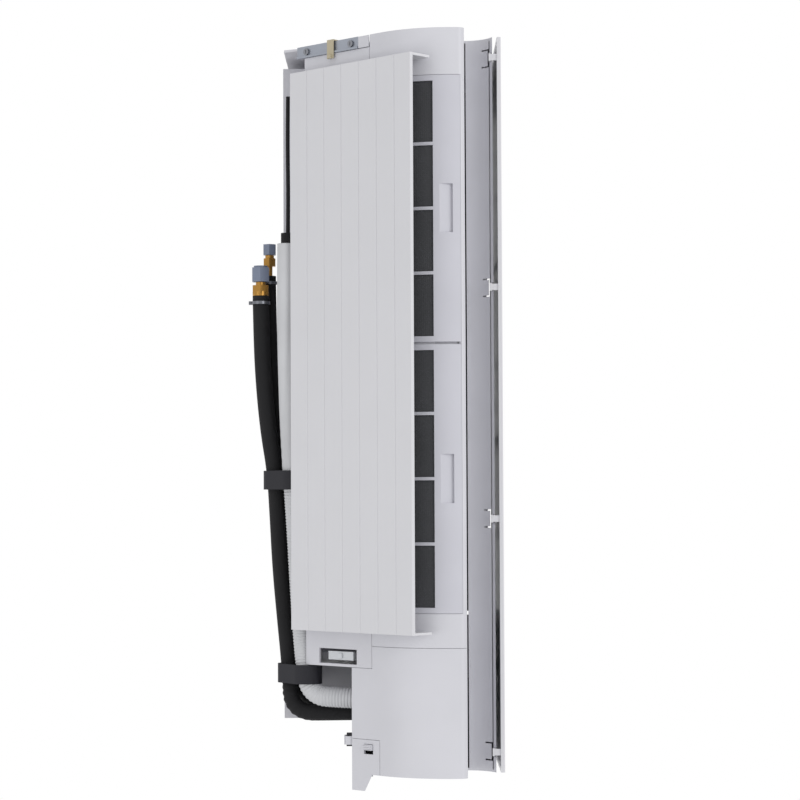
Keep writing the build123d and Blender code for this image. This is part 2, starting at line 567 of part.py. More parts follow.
def filter_parts(x0):
    """One filter: a moulded frame with four windows and a thumb recess, and the mesh behind it."""
    x1 = x0 + FILTER_LENGTH
    front = under(FILTER_FRONT_Y, 0)
    slide = (front[0] + 20 * FLAP_C, front[1] + 20 * FLAP_S)
    away = (front[0] - 20 * FLAP_C, front[1] - 20 * FLAP_S)
    keep = polygon(away, slide, (slide[0] + 170, slide[1] + 135), (slide[0] + 170, away[1] - 5))
    thin = band(FRONT_Y + 2, FILTER_REAR_Y, 0.2, FILTER_T) & keep
    thick = band(FRONT_Y + 2, WINDOW_FRONT_Y - 2, 0.2, FRONT_BAR_T) & keep
    frame = run(thin, x0, x1) + run(thick, x0, x1)
    pitch = (FILTER_LENGTH - 2 * WINDOW_EDGE + BAR_W) / WINDOW_COUNT
    for i in range(WINDOW_COUNT):
        wx = x0 + WINDOW_EDGE + i * pitch
        window = run(band(WINDOW_FRONT_Y, WINDOW_REAR_Y, -2, FILTER_T + 2), wx, wx + pitch - BAR_W)
        frame -= window
    mid = (x0 + x1) / 2
    scoop = polygon(under(-188.5, -1), under(-188.5, 4.0), under(-171, -1))
    frame -= run(scoop, mid - 26, mid + 26)
    mesh = run(band(WINDOW_FRONT_Y - 1.5, WINDOW_REAR_Y + 2, FILTER_T + 0.02 - MESH_T, FILTER_T), x0 + 3, x1 - 3)
    frame -= run(band(WINDOW_FRONT_Y - 1.6, WINDOW_REAR_Y + 2.1, FILTER_T - MESH_T, FILTER_T + 3), x0 + 2.9, x1 - 2.9)
    return frame, mesh


def slab(p0, p1, thick):
    """A rectangle standing on the line from p0 to p1, thick towards the left of it."""
    dy, dz = p1[0] - p0[0], p1[1] - p0[1]
    n = math.hypot(dy, dz)
    ny, nz = -dz / n * thick, dy / n * thick
    return polygon(p0, p1, (p1[0] + ny, p1[1] + nz), (p0[0] + ny, p0[1] + nz))


COIL_SLABS = {
    "coil_front": ((-190.0, 178.0), (-150.0, 255.0)),
    "coil_rear": ((-118.0, 262.0), (-60.0, 195.0)),
    "coil_lower": (under(-84.0, 12.0), under(-46.0, 12.0)),
}


def coil(name):
    """A fin pack with its end plates, cut into bays by the gaps between fin groups, and hairpin bends."""
    p0, p1 = COIL_SLABS[name]
    pack_face = slab(p0, p1, COIL_T)
    body = run(pack_face, COIL_LEFT, COIL_RIGHT)
    dy, dz = p1[0] - p0[0], p1[1] - p0[1]
    n = math.hypot(dy, dz)
    ny, nz = -dz / n, dy / n
    pitch = (COIL_RIGHT - COIL_LEFT) / FIN_COUNT
    for i in range(FIN_COUNT):
        x = COIL_LEFT + (i + 0.5) * pitch - FIN_CUT / 2
        q0 = (p0[0] + ny * -1 - dy / n, p0[1] + nz * -1 - dz / n)
        q1 = (p1[0] + ny * -1 + dy / n, p1[1] + nz * -1 + dz / n)
        body -= run(slab(q0, q1, 7.0), x, x + FIN_CUT)
    rows = max(1, int(n // 30))
    for i in range(rows):
        t = (i + 0.5) / rows
        cy, cz = p0[0] + dy * t + ny * COIL_T / 2, p0[1] + dz * t + nz * COIL_T / 2
        a = (cy + ny * 6.5, cz + nz * 6.5)
        b = (cy - ny * 6.5, cz - nz * 6.5)
        for side, x in ((-1, COIL_LEFT), (1, COIL_RIGHT)):
            path = Wire([Edge.make_line((x - side * 1, *a), (x + side * 4, *a)),
                         Edge.make_three_point_arc((x + side * 4, *a), (x + side * 10.5, cy, cz),
                                                   (x + side * 4, *b)),
                         Edge.make_line((x + side * 4, *b), (x - side * 1, *b))])
            start = Plane(origin=(x - side * 1, *a), z_dir=(side, 0, 0))
            body += sweep(start * Circle(3.0), path=path)
    return body


def fan_wheel():
    """Cross-flow wheel: curved blades set in a ring between discs, with its shaft."""
    y, z = FAN_AXIS
    body = None
    step = (FAN_RIGHT - FAN_LEFT - FAN_DISC_T) / (FAN_DISCS - 1)
    for i in range(FAN_DISCS):
        x = FAN_LEFT + i * step
        ring = rod(FAN_AXIS, FAN_R, x, x + FAN_DISC_T)
        if 0 < i < FAN_DISCS - 1:
            ring -= rod(FAN_AXIS, FAN_R - BLADE_LENGTH - 3, x - 1, x + FAN_DISC_T + 1)
        body = ring if body is None else body + ring
    blades = []
    for k in range(FAN_BLADES):
        a0 = 2 * math.pi * k / FAN_BLADES

        def at(r, lead):
            return (y + r * math.cos(a0 + lead), z + r * math.sin(a0 + lead))

        r0, r1 = FAN_R - BLADE_LENGTH - 1, FAN_R - 1
        rm = (r0 + r1) / 2
        t = BLADE_T / FAN_R
        blade = section([(at(r0, 0), at(rm, 0.03), at(r1, 0.16)), (at(r1, 0.16), at(r1, 0.16 + t)),
                         (at(r1, 0.16 + t), at(rm, 0.03 + t * 1.3), at(r0, t * 1.1)), (at(r0, t * 1.1), at(r0, 0))])
        blades.append(run(blade, FAN_LEFT + 1, FAN_RIGHT - 1))
    body = body.fuse(*blades)
    body += rod(FAN_AXIS, SHAFT_R, FAN_LEFT - 14, FAN_LEFT + 1)
    body += rod(FAN_AXIS, SHAFT_R, FAN_RIGHT - 1, FAN_RIGHT + 16)
    return body


def fan_bearing():
    """Rubber-seated bearing block at the left end, held by a web to the cabinet's end."""
    body = rod(FAN_AXIS, 13.0, FAN_LEFT - 15, FAN_LEFT - 3)
    body += block(LEFT + WALL, FAN_LEFT - 13, FAN_AXIS[0] - 20, FAN_AXIS[0] + 17, FAN_AXIS[1] - 20, FAN_AXIS[1] + 20) \
        - rod(FAN_AXIS, 9.0, LEFT, FAN_LEFT - 16)
    body -= rod(FAN_AXIS, SHAFT_R + RUN_FIT, FAN_LEFT - 30, FAN_LEFT)
    return body


def fan_motor():
    """Round motor with a stepped nose and a socket for the shaft."""
    x = FAN_RIGHT + 5
    body = rod(FAN_AXIS, 14.0, x, x + 6) + rod(FAN_AXIS, 38.0, x + 5, x + 45) + rod(FAN_AXIS, 16.0, x + 44, x + 48)
    body -= rod(FAN_AXIS, SHAFT_R + RUN_FIT, x - 1, x + 14)
    return body


def motor_clamp():
    """Band that holds the motor, standing on the divider."""
    x = FAN_RIGHT + 20
    ring = rod(FAN_AXIS, 41.0, x, x + 18) - rod(FAN_AXIS, 38.0, x - 1, x + 19)
    foot = block(x, x + 18, FAN_AXIS[0] - 16, FAN_AXIS[0] + 16, FAN_AXIS[1] - 62, FAN_AXIS[1] - 37) \
        - rod(FAN_AXIS, 38.0, x - 1, x + 19)
    plate = block(x - 2, x + 20, FAN_AXIS[0] - 24, FAN_AXIS[0] + 24, FAN_AXIS[1] - 66, FAN_AXIS[1] - 61)
    return ring + foot + plate


def outlet_duct():
    """Curved throat from the fan to the outlet, with the drip trough over it and end cheeks."""
    t = DUCT_T
    x0, x1 = OUTLET_LEFT - 8, OUTLET_RIGHT + 8
    low = OUTLET_LOW - 0.4
    high = OUTLET_HIGH + 0.4
    front = FRONT_Y + WALL + GAP
    floor = section([((front + 12, low), (-158, low)), ((-158, low), (-124, 46), (-112, 112)),
                     ((-112, 112), (-112 + t, 112)), ((-112 + t, 112), (-124 + t, 44.5), (-158, low - t)),
                     ((-158, low - t), (front + 12, low - t)), ((front + 12, low - t), (front + 12, low))])
    ceiling = section([((front, high), (-165, high)), ((-165, high), (-160, 84), (-168, 120)),
                       ((-168, 120), (-168 - t, 120)), ((-168 - t, 120), (-160 - t, 84), (-167, high + t)),
                       ((-167, high + t), (front, high + t)), ((front, high + t), (front, high))])
    body = run(ceiling, x0, x1) + run(floor, x0, x1)
    cheek = polygon((front, low - t), (front, high + t), (-168, high + t), (-168, 118), (-112, 110), (-124, 46),
                    (-158, low - t))
    trough = section([((-168, 118), (-168, 130)), ((-168, 130), (-170.4, 130)), ((-170.4, 130), (-170.4, 120.4)),
                      ((-170.4, 120.4), (-213, 120.4)), ((-213, 120.4), (-213, 140)), ((-213, 140), (-215.4, 140)),
                      ((-215.4, 140), (-215.4, 118)), ((-215.4, 118), (-168, 118))])
    body += run(trough, x0, x1)
    for x in (x0, x1 - t):
        body += run(cheek, x, x + t)
        body += run(polygon((-168, 118), (-168, 130), (-215.4, 140), (-215.4, 118)), x, x + t)
    for x in (x0 - 0.1, x1 - 12):
        body -= block(x - 1, x + 13, front - 1, OUTLET_AXIS[0] + 5, 0, OUTLET_AXIS[1] + 6.5)
    for x in VANE_XS:
        body -= pin(x, VANE_Y, VANE_PIN_R + RUN_FIT, low - t - 1, low + 1)
    return body


def vane(x):
    """One upright vane with its foot pin and its link pin; the trailing edge is thinned."""
    low, high = OUTLET_LOW + 0.6, OUTLET_HIGH - 3
    plate = block(x - VANE_T / 2, x + VANE_T / 2, VANE_FRONT_Y, VANE_REAR_Y, low, high)
    plate -= block(x - 3, x + 3, VANE_Y + LINK_OFFSET - 6, VANE_REAR_Y + 1, LINK_Z - 1.2, high + 1)
    body = plate + pin(x, VANE_Y, 3.0, low, low + 3) + pin(x, VANE_Y, VANE_PIN_R, OUTLET_LOW - 2.2, low + 1)
    body += pin(x, VANE_Y + LINK_OFFSET, 1.3, LINK_Z - 6, LINK_Z + LINK_T + 1.2)
    return body


def vane_link(x0):
    """Slim bar that ties one bank of vanes together by their link pins."""
    x1 = x0 + (VANES_PER_BANK - 1) * VANE_PITCH
    y = VANE_Y + LINK_OFFSET
    body = block(x0 - 6, x1 + 6, y - 4.2, y + 4.2, LINK_Z, LINK_Z + LINK_T)
    for i in range(VANES_PER_BANK):
        x = x0 + i * VANE_PITCH
        body -= block(x - 1.75, x + 1.75, y - 3.2, y + 1.8, LINK_Z - 1, LINK_Z + LINK_T + 1)
    return body


def outlet_flap():
    """Slim outlet door, slightly bowed, with its two end pins."""
    y0 = FRONT_Y
    low, high = OUTLET_LOW + 1.8, OUTLET_HIGH - 0.8
    mid = (low + high) / 2
    back = y0 + WALL
    face = section([((back, low), (y0 + 1.3, low)), ((y0 + 1.3, low), (y0, low + 1.4)),
                    ((y0, low + 1.4), (y0 - 0.3, mid), (y0 + 0.3, high)), ((y0 + 0.3, high), (back, high)),
                    ((back, high), (back - 0.3, mid), (back, low))])
    x0, x1 = OUTLET_LEFT + GAP, OUTLET_RIGHT - GAP
    body = run(face, x0, x1)
    for a, b in ((x0, x0 + 3), (x1 - 3, x1)):
        body += rod(OUTLET_AXIS, 2.6, a, b)
    body += rod(OUTLET_AXIS, OUTLET_PIN_R, x0 - EAR_T, x0 + 1) + rod(OUTLET_AXIS, OUTLET_PIN_R, x1 - 1, x1 + EAR_T)
    return body


def control_box():
    """Open-topped electrics box with a cable notch."""
    x0, x1 = 300.0, 390.0
    y0, y1, z0, z1 = -222.0, -92.0, 96.0, 250.0
    body = block(x0, x1, y0, y1, z0, z1) - block(x0 + 2, x1 - 2, y0 - 1, y1 - 2, z0 + 2, z1 - 2)
    body -= block(x0 + 8, x0 + 26, y1 - 3, y1 + 1, z0 + 8, z0 + 20)
    return body


def control_board():
    """Circuit board with its largest parts standing on it."""
    y = -97.0
    body = block(304, 386, y - 1.6, y, 102, 244)
    for x0, x1, z0, z1, d in ((310, 330, 200, 222, 24), (338, 352, 190, 230, 18), (360, 380, 150, 180, 12),
                              (312, 344, 120, 150, 16)):
        body += block(x0, x1, y - 1.6 - d, y - 1, z0, z1)
    return body


def terminal_block():
    """Row of four screw terminals with dividers."""
    x0, y1, z0 = 310.0, -182.0, 99.0
    body = block(x0, x0 + 60, y1 - 22, y1, z0, z0 + 12)
    for i in range(5):
        body += block(x0 + i * 14.5, x0 + i * 14.5 + 2, y1 - 22, y1, z0 + 11, z0 + 20)
    return body


def end_bar():
    """Pressed steel bar along the chamfer's left end, with a rolled lip and two screw holes."""
    x0, x1 = LEFT, CHASSIS_LEFT - GAP
    body = run(band(BAR_Y0, BAR_Y1, -0.6, 1.0), x0, x1)
    body += run(band(BAR_Y0, BAR_Y1, -0.6, 4.0), x0, x0 + 1.6)
    body += run(band(BAR_Y0, BAR_Y1, -2.2, 0.2), x1 - 2.2, x1)
    body += run(band(BAR_Y0, BAR_Y0 + 2, -0.6, 6.0), x0, x1)
    for y in BAR_SCREWS:
        c = under(y, 0)
        body -= Pos((x0 + x1) / 2, c[0], c[1]) * Rot(CHAMFER_DEG, 0, 0) * Cylinder(2.2, 12)
    return body


def bar_screws():
    """Two pan-head screws in the bar."""
    out = []
    for y in BAR_SCREWS:
        c = under(y, 0)
        screw = Pos(0, 0, -1.6) * Cylinder(3.8, 1.6) + Pos(0, 0, 3) * Cylinder(2.0, 9)
        screw -= Pos(0, 0, -2.4) * Box(4.2, 0.9, 1.4)
        out.append(Pos((LEFT + CHASSIS_LEFT - GAP) / 2, c[0], c[1]) * Rot(CHAMFER_DEG, 0, 0) * screw)
    return out


def bar_clip():
    """Spring clip that saddles the bar, with a curled end."""
    x0, x1 = LEFT - 1.6, CHASSIS_LEFT - GAP + 0.2
    body = run(band(-62, -55, -3.4, -2.3), x0, x1 + 6)
    body += run(band(-62, -55, -3.4, 6), x0, x0 + 1.2)
    curl = under(-58.5, -3.6)
    body += run(band(-60.5, -56.5, -5.6, -2.6), x1 + 2, x1 + 6)
    return body


def bar_cap():
    """Light plastic cap at the bar's front end."""
    body = run(band(SEAM_Y + GAP, BAR_Y0 - GAP, -1.2, 8.0), LEFT + 0.4, CHASSIS_LEFT - 0.6)
    body -= run(band(SEAM_Y + 2, BAR_Y0, 0.4, 6.5), LEFT + 2, CHASSIS_LEFT)
    body = body & block(LEFT, 0, SEAM_Y + GAP, 0, 0, 200)
    return body


def slot_clip():
    """Translucent clip held inside the slot of the chamfer."""
    body = run(band(SLOT_Y0 + 6, SLOT_Y1 - 8, 3.2, 4.6), SLOT_X0 + 3, SLOT_X1 - 4)
    body += run(band(SLOT_Y0 + 6, SLOT_Y0 + 9, 3.2, 9.0), SLOT_X0 + 3, SLOT_X1 - 4)
    body += run(band(-66, -62, 1.0, 4.0), SLOT_X0 + 5, SLOT_X1 - 6)
    return body


def clip_block():
    """Dark block at the end cover's rear wall that takes the cable clip."""
    body = block(358, 371, BAY_Y, BAY_Y + 6, 66, 84)
    body -= block(360.5, 368.5, BAY_Y + 2, BAY_Y + 7, 62, 78)
    return body


def clip_strip():
    """Light L-shaped clip over the dark block."""
    return block(360, 369, BAY_Y + 6, BAY_Y + 8.4, 64, 80) + block(360, 369, BAY_Y, BAY_Y + 7, 62, 64.4)


def route(points):
    """Straight runs joined by arcs as large as the runs allow."""
    vs = [Vector(*p) for p in points]
    radii = []
    for i in range(1, len(vs) - 1):
        a, b = vs[i] - vs[i - 1], vs[i + 1] - vs[i]
        turn = math.radians(a.get_angle(b))
        radii.append(0.45 * min(a.length, b.length) / math.tan(turn / 2))
    return FilletPolyline(*vs, radius=radii), radii


def round_tube(name, points, r, bore=0.0):
    path, radii = route(points)
    wire = path.wire() if hasattr(path, "wire") else path
    start = Plane(origin=points[0], z_dir=tuple(Vector(*points[1]) - Vector(*points[0])))
    body = sweep(start * Circle(r), path=wire)
    if bore:
        body -= sweep(start * Circle(bore), path=wire)
    want = math.pi * (r * r - bore * bore) * wire.length
    print(name, "radii", [round(v, 1) for v in radii], "length", round(wire.length, 1),
          "volume ratio", round(body.volume / want, 4))
    return body


# The pipes' centre line, from inside the end cover round the corner and along the back to the free ends


def hexagon(x0, x1, y, z, flat):
    return Pos((x0 + x1) / 2, y, z) * Rot(0, 90, 0) * extrude(RegularPolygon(flat / 2, 6, major_radius=False),
                                                             amount=(x1 - x0) / 2, both=True)


def gas_nut():
    """Flare nut on the larger pipe: hexagon, collar and neck."""
    x, y, z = GAS_ROUTE[-1]
    body = hexagon(x - 12, x - 2, y, z, 17.5) + rod((y, z), 9.2, x - 5, x - 0.2)
    return body + rod((y, z), 5.6, x - 15.6, x - 11)


def gas_cap():
    """Slate-grey hexagonal cap that seals the larger pipe."""
    x, y, z = GAS_ROUTE[-1]
    body = hexagon(x - 32, x - 16, y, z, 18.5)
    body += rod((y, z), 7.8, x - 34, x - 31)
    return body


def liquid_nut():
    """Bare copper end, brass nut and shoulder on the smaller pipe."""
    x, y, z = LIQUID_ROUTE[-1]
    body = rod((y, z), COPPER_R, x - 12, x - 0.2) + hexagon(x - 20, x - 11, y, z, 13.0)
    return body + rod((y, z), 5.0, x - 23.5, x - 19)


def liquid_cap():
    x, y, z = LIQUID_ROUTE[-1]
    return hexagon(x - 36, x - 24, y, z, 13.6)


def pipe_clamp(x, y, z, r, head):
    """Wire-thin band round the foam with a round screw head."""
    body = rod((y, z), r + 1.4, x, x + 3.4) - rod((y, z), r + 0.3, x - 1, x + 5)
    return body + Pos(x + 1.7, y + head[0] * (r + 2.2), z + head[1] * (r + 2.2)) * Rot(90, 0, 0) * Cylinder(2.1, 4)


def strap(x, thick, items):
    """A flat band drawn tight round round things: the hull of their circles, grown by the band's thickness."""
    def hull(grow):
        circles = [Pos(0, y, z) * Rot(0, 90, 0) * Cylinder(r + grow, 1) for y, z, r in items]
        body = circles[0].fuse(*circles[1:])
        for i in range(len(items)):
            for j in range(i + 1, len(items)):
                (y0, z0, r0), (y1, z1, r1) = items[i], items[j]
                d = math.hypot(y1 - y0, z1 - z0)
                a = math.atan2(z1 - z0, y1 - y0)
                b = math.acos((r0 - r1) / d)
                pts = []
                for cy, cz, r, s in ((y0, z0, r0, 1), (y1, z1, r1, 1), (y1, z1, r1, -1), (y0, z0, r0, -1)):
                    pts.append((cy + (r + grow) * math.cos(a + s * b), cz + (r + grow) * math.sin(a + s * b)))
                body += run(polygon(*pts), -0.5, 0.5)
        return body

    ring = hull(thick + 0.3) - hull(0.3)
    faces = [f for f in ring.faces() if abs(f.center().X + 0.5) < 1e-6 and abs(f.normal_at().X) > 0.9]
    face = max(faces, key=lambda f: f.area)
    band_body = extrude(face, amount=STRAP_W, dir=(1, 0, 0))
    return Pos(x + 0.5, 0, 0) * band_body


def build():
    save("lower_casing", lower_casing())
    save("rear_chassis", rear_chassis())
    save("cabinet", cabinet())
    save("end_cover", end_cover())
    save("service_door", service_door())
    save("door_latch", door_latch())
    save("front_panel", front_panel())
    save("intake_flap", intake_flap())
    for x0, side in zip(FILTER_LEFTS, ("left", "right")):
        frame, mesh = filter_parts(x0)
        save("filter_frame_" + side, frame)
        save("filter_mesh_" + side, mesh)
    for name in COIL_SLABS:
        save(name, coil(name))
    save("fan_wheel", fan_wheel())
    save("fan_bearing", fan_bearing())
    save("fan_motor", fan_motor())
    save("motor_clamp", motor_clamp())
    save("outlet_duct", outlet_duct())
    save("outlet_flap", outlet_flap())
    for i, x in enumerate(VANE_XS):
        save("vane_%d" % (i + 1), vane(x))
    for x0, side in BANKS:
        save("vane_link_" + side, vane_link(x0))
    save("control_box", control_box())
    save("control_board", control_board())
    save("terminal_block", terminal_block())
    save("end_bar", end_bar())
    save("bar_screws", bar_screws())
    save("bar_clip", bar_clip())
    save("bar_cap", bar_cap())
    save("slot_clip", slot_clip())
    save("clip_block", clip_block())
    save("clip_strip", clip_strip())
    save("gas_pipe", round_tube("gas_pipe", GAS_ROUTE, GAS_R))
    save("liquid_pipe", round_tube("liquid_pipe", LIQUID_ROUTE, LIQUID_R))
    save("drain_hose", round_tube("drain_hose", HOSE_ROUTE, HOSE_R, HOSE_R - 2.5))
    save("hose_sleeve", round_tube("hose_sleeve", SLEEVE_ROUTE, HOSE_R, HOSE_R - 2.5))
    cuff = rod(SLEEVE_ROUTE[-1][1:], CUFF_R, LEAD_ROUTE[0][0] - 2, SLEEVE_ROUTE[-1][0] - GAP)
    save("sensor_lead", round_tube("sensor_lead", LEAD_ROUTE, LEAD_R) + cuff)
    save("gas_nut", gas_nut())
    save("gas_cap", gas_cap())
    save("liquid_nut", liquid_nut())
    save("liquid_cap", liquid_cap())
    save("gas_clamp", pipe_clamp(GAS_ROUTE[-1][0] + 6, GAS_ROUTE[-1][1], GAS_ROUTE[-1][2], GAS_R, (1, 0)))
    save("liquid_clamp", pipe_clamp(LIQUID_ROUTE[-1][0] + 6, LIQUID_ROUTE[-1][1], LIQUID_ROUTE[-1][2], LIQUID_R, (0, 1)))
    for name, x in (("strap_upper", 72.0), ("strap_lower", 286.2)):
        mid = x + STRAP_W / 2
        items = [crossing(GAS_ROUTE, mid, GAS_R), crossing(LIQUID_ROUTE, mid, LIQUID_R),
                 crossing(HOSE_ROUTE if mid > SLEEVE_ROUTE[0][0] else SLEEVE_ROUTE, mid, HOSE_R)]
        save(name, strap(x, STRAP_T, items))


def crossing(points, x, r):
    """Where a route passes a station on X, with the radius grown for its slope."""
    for a, b in zip(points, points[1:]):
        if min(a[0], b[0]) <= x <= max(a[0], b[0]):
            t = (x - a[0]) / (b[0] - a[0])
            slope = math.hypot(b[1] - a[1], b[2] - a[2]) / abs(b[0] - a[0])
            return (a[1] + t * (b[1] - a[1]), a[2] + t * (b[2] - a[2]), r + STRAP_EASE + slope * STRAP_W / 2)
    return (points[-1][1], points[-1][2], r + 0.6)


build()
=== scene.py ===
import json
import math

import bpy
import numpy as np
from bpy.props import FloatProperty, FloatVectorProperty, IntProperty, PointerProperty
from mathutils import Matrix, Vector


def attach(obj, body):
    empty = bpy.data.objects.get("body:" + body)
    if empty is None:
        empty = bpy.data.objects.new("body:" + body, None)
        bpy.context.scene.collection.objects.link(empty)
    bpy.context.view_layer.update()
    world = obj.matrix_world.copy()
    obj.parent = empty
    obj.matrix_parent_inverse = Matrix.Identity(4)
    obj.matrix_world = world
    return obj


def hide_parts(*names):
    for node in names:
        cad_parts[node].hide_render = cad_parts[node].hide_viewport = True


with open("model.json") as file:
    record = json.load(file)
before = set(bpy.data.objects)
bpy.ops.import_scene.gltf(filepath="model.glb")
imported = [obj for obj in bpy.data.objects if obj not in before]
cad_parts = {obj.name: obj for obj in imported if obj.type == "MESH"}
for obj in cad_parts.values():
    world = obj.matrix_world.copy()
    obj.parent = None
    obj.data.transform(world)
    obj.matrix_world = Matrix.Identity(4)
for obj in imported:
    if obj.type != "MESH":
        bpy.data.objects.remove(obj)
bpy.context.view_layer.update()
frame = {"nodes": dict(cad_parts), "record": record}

bl_info = {
    "name": "Wall air conditioner dressing",
    "version": (1, 0, 0),
    "blender": (4, 5, 0),
    "location": "3D View > Sidebar > Air conditioner",
    "description": "Finishes, wrapped pipes, ribbed drain hose and studio for the indoor unit",
    "category": "Object",
}

# Heights in the routes are above the underside; the frame's origin lies this much higher, in metres
MOUNT_HEIGHT = 0.228
MM = 0.001

# Pipe and hose centre lines, in millimetres, from the bay round the corner and along the back
GAS_ROUTE = ((339.5, -90, 128), (340, -62, 130), (341, -9, 136), (292, -7.6, 140), (236, -2, 143),
             (180, 3, 143), (124, 5.8, 143), (72, 8.8, 143), (30, 15.8, 143), (-20, 20.8, 143),
             (-72, 23.6, 143), (-124, 24.4, 143))
LIQUID_ROUTE = ((330, -90, 146), (330.4, -62, 148), (329, -18, 154), (284, -17, 157.5), (232, -11.5, 157.5),
                (176, -6.4, 157.5), (120, -3, 157.5), (70, 1, 157.5), (26, 7, 157.5), (-24, 11.6, 157.5),
                (-84, 14.6, 159.5), (-148, 15.4, 161.1))
HOSE_ROUTE = ((323, -90, 106), (322.5, -70, 108), (320, -30, 116), (276, -24.6, 121.4), (232, -21.4, 122),
              (184, -18.6, 122), (132, -15.8, 123), (80, -12.2, 125))
SLEEVE_ROUTE = ((79.4, -12.2, 125), (28, -9.2, 124), (-30, -7.6, 120.4), (-88, -6.4, 118),
                (-146, -6.8, 118), (-180, -7.0, 118))

# Camera: below the unit and looking up, with the right-hand end at the bottom of the picture
CAMERA_AT = (0.102, -0.1314, -2.728)
CAMERA_AIM = (-0.0008, -0.1314, -0.228)
CAMERA_ROLL = 0.25
LENS = 106.2
SENSOR = 36.0

# Studio, in metres: the floor's half width and height; each lamp's name, place, size and share of the power
FLOOR_HALF = 30.0
FLOOR_DROP = -3.6
FLOOR_ROUGHNESS = 0.8
LAMPS = (("key", (-0.6, -1.9, -2.1), 1.6, 1.0),
         ("rear", (0.5, 1.6, -1.9), 1.4, 0.45),
         ("top", (0.0, -0.8, 2.2), 1.8, 0.6))

# Tubes: points read from the curve for each span of a route, the fewest rings, and metres of tube to a ring
LINE_RESOLUTION = 24
FEWEST_RINGS = 8
PIPE_STEP = 0.0011
HOSE_STEP = 0.00055
SLEEVE_STEP = 0.0015

# Finish: the slow drift of tint and its ramp's stops, the detail of the fine grain, the spread and lowest
# value of roughness, and the length in metres over which a wave texture of scale 1 repeats
DRIFT_SCALE = 14.0
DRIFT_DETAIL = 3.0
DRIFT_STOPS = (0.3, 0.7)
GRAIN_DETAIL = 4.0
ROUGH_SPREAD = 0.06
ROUGH_LOWEST = 0.05
WAVE_PERIOD = 0.314

# Creases: a bend is (place along the tube, spread, angle of its inner side) and a crease (depth, pitch),
# with lengths in metres and angles in radians. The pipes' bends are counted from each pipe's corner
GAS_CORNER = 0.085
LIQUID_CORNER = 0.075
CORNER_BENDS = ((0.0, 0.022, 0.0), (0.03, 0.02, 2.6))
CORNER_CREASE = (0.0011, 0.0062)
HOSE_BENDS = ((0.072, 0.014, 2.4),)
HOSE_CREASE_DEPTH = 0.0016
SLEEVE_BENDS = ((0.03, 0.03, 1.0), (0.15, 0.05, 3.0))
SLEEVE_CREASE = (0.0004, 0.011)
PHASE_SWING = 0.9

# Finish of each slot: colour as sRGB, roughness, metallic, grain size in metres, bump, tint variation
FINISHES = {
    "casing_white": ((205, 205, 211), 0.5, 0.0, 0.0012, 0.05, 0.012),
    "panel_white": ((212, 212, 216), 0.36, 0.0, 0.0012, 0.012, 0.006),
    "filter_white": ((196, 196, 204), 0.5, 0.0, 0.0014, 0.05, 0.015),
    "mesh_grey": ((62, 63, 66), 0.7, 0.0, 0.0011, 0.35, 0.05),
    "coil_aluminium": ((150, 153, 158), 0.38, 0.85, 0.0016, 0.4, 0.06),
    "fan_grey": ((70, 72, 76), 0.5, 0.0, 0.002, 0.05, 0.02),
    "bearing_rubber": ((28, 28, 30), 0.75, 0.0, 0.002, 0.1, 0.03),
    "motor_metal": ((128, 130, 134), 0.36, 0.9, 0.002, 0.08, 0.04),
    "duct_grey": ((60, 61, 65), 0.55, 0.0, 0.0016, 0.05, 0.02),
    "board_green": ((40, 88, 58), 0.45, 0.0, 0.003, 0.05, 0.06),
    "terminal_black": ((26, 26, 28), 0.45, 0.0, 0.002, 0.05, 0.02),
    "bar_steel": ((160, 165, 175), 0.34, 0.75, 0.0016, 0.06, 0.05),
    "screw_steel": ((140, 142, 148), 0.3, 0.9, 0.001, 0.1, 0.05),
    "clip_beige": ((182, 172, 146), 0.5, 0.0, 0.001, 0.05, 0.02),
    "clip_clear": ((205, 208, 212), 0.2, 0.0, 0.001, 0.03, 0.01),
    "block_dark": ((44, 44, 48), 0.6, 0.0, 0.0012, 0.08, 0.03),
    "foam_black": ((15, 15, 18), 0.85, 0.0, 0.0016, 0.35, 0.06),
    "hose_white": ((196, 197, 200), 0.5, 0.0, 0.002, 0.08, 0.03),
    "strap_black": ((24, 24, 32), 0.7, 0.0, 0.0012, 0.2, 0.04),
    "nut_brass": ((176, 132, 66), 0.3, 0.9, 0.001, 0.06, 0.06),
    "cap_slate": ((118, 127, 147), 0.42, 0.0, 0.001, 0.06, 0.02),
    "clamp_steel": ((120, 122, 128), 0.32, 0.9, 0.001, 0.06, 0.04),
}


def material_slots():
    """The material slot that the record gives each CAD piece."""
    return {part["node"]: part["material_slot"] for part in frame["record"]["subparts"]}


def linear(rgb):
    """sRGB bytes to linear light: c/12.92 below 0.04045, ((c + 0.055)/1.055)^2.4 above."""
    out = []
    for c in rgb:
        c = c / 255.0
        out.append(c / 12.92 if c <= 0.04045 else ((c + 0.055) / 1.055) ** 2.4)
    return (*out, 1.0)


def shaded(rgb, factor):
    """A colour made lighter or darker by a factor, kept in range."""
    return tuple(min(1.0, c * factor) for c in linear(rgb)[:3]) + (1.0,)


